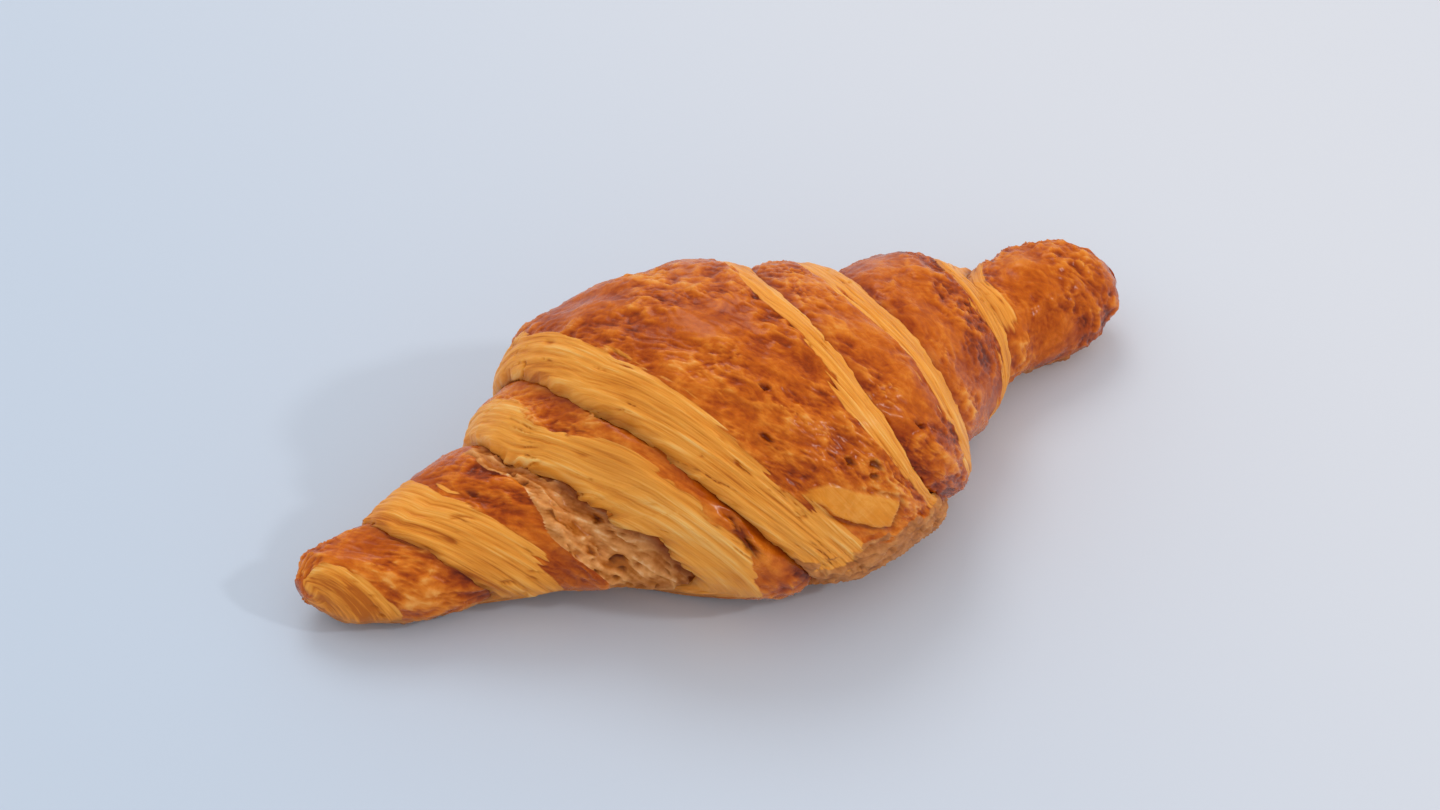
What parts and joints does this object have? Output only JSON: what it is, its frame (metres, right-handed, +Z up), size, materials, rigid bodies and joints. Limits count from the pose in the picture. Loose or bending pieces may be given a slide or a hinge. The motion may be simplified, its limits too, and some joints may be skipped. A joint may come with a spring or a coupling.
{
  "type": "croissant",
  "caption": "Baked croissant of rolled flaky dough with overlapping slanted wraps, tapering to two blunt ends, resting flat on its base.",
  "frame": {"origin": "centre of the footprint, on the surface the croissant rests on", "axes": "+X runs along the roll from the left tip to the right tip, -Y is the side the bulge of the crescent faces, +Z is up"},
  "size_m": [0.1714, 0.0718, 0.0517],
  "materials": {
    "crust": "glazed golden brown crust with paler flaky cut edges"
  },
  "bodies": {
    "root": {"croissant": "crust"}
  },
  "joints": []
}
